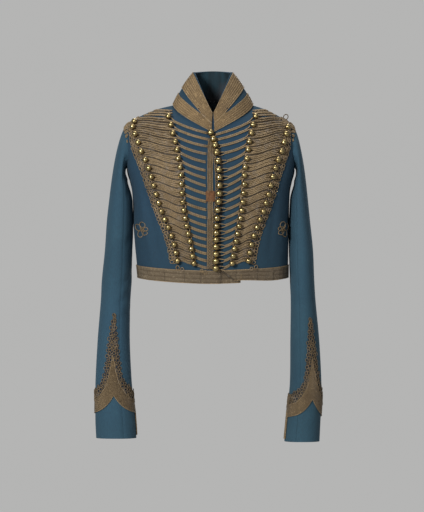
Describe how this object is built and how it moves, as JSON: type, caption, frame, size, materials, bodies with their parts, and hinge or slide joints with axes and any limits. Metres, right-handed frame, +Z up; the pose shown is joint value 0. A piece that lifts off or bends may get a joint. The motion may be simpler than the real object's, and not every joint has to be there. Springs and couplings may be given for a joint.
{
  "type": "hussar jacket",
  "caption": "Short hussar dolman of blue cloth with a stand collar, gold frogging bars across the front, ball buttons, a laced hem and pointed cuff lace, filled out as worn.",
  "frame": {"origin": "middle of the neck at shoulder height, where the wearer's neck and shoulders hold the jacket", "axes": "+Z up out of the collar, -Y toward the front with the buttons, +X toward the wearer's left"},
  "size_m": [0.477, 0.2318, 0.7772],
  "materials": {
    "blue_cloth": "matt wool broadcloth",
    "gold_lace": "tarnished metal braid",
    "brass": "worn ball buttons",
    "brown_patch": "matt"
  },
  "bodies": {
    "root": {"back": "blue_cloth", "front_right": "blue_cloth", "front_left": "blue_cloth", "sleeve_right_outer": "blue_cloth", "sleeve_right_under": "blue_cloth", "sleeve_left_outer": "blue_cloth", "sleeve_left_under": "blue_cloth", "collar": "blue_cloth", "collar_lace_lower": "gold_lace", "collar_lace_upper": "gold_lace", "hem_band_right": "gold_lace", "hem_band_left": "gold_lace", "hem_band_back": "gold_lace", "front_strip": "gold_lace", "cuff_lace_right": "gold_lace", "frogging_right": "gold_lace", "knot_right": "gold_lace", "cuff_lace_left": "gold_lace", "frogging_left": "gold_lace", "knot_left": "gold_lace", "buttons_right_inner": "brass", "buttons_right_outer": "brass", "buttons_left_inner": "brass", "buttons_left_outer": "brass", "button_01": "brass", "button_02": "brass", "button_03": "brass", "button_04": "brass", "button_05": "brass", "button_06": "brass", "button_07": "brass", "button_08": "brass", "button_09": "brass", "button_10": "brass", "button_11": "brass", "button_12": "brass", "button_13": "brass", "button_14": "brass", "button_15": "brass", "button_16": "brass", "button_17": "brass", "button_18": "brass", "button_19": "brass", "patch": "brown_patch"}
  },
  "joints": []
}
